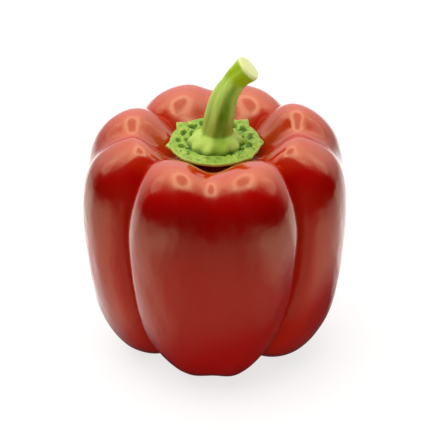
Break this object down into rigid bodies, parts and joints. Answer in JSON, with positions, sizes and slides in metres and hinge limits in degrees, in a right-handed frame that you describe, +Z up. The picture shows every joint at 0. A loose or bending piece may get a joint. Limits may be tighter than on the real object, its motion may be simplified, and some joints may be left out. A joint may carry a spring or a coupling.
{
  "type": "bell pepper",
  "caption": "Whole red bell pepper standing on its lobed base, with a pitted green calyx sunk in the top and a ridged, curved, cut stalk.",
  "frame": {"origin": "on the surface it stands on, under the middle of the fruit", "axes": "+Z up, along the fruit from its blossom end to the stalk; +X to the side the stalk leans to; -Y towards the front lobe"},
  "size_m": [0.0849, 0.0853, 0.1033],
  "materials": {
    "fruit_skin": "smooth waxy skin, glossy",
    "calyx_green": "pitted plant surface, satin",
    "stalk_green": "ridged plant surface, satin"
  },
  "bodies": {
    "root": {"fruit": "fruit_skin", "calyx": "calyx_green", "stalk": "stalk_green"}
  },
  "joints": []
}
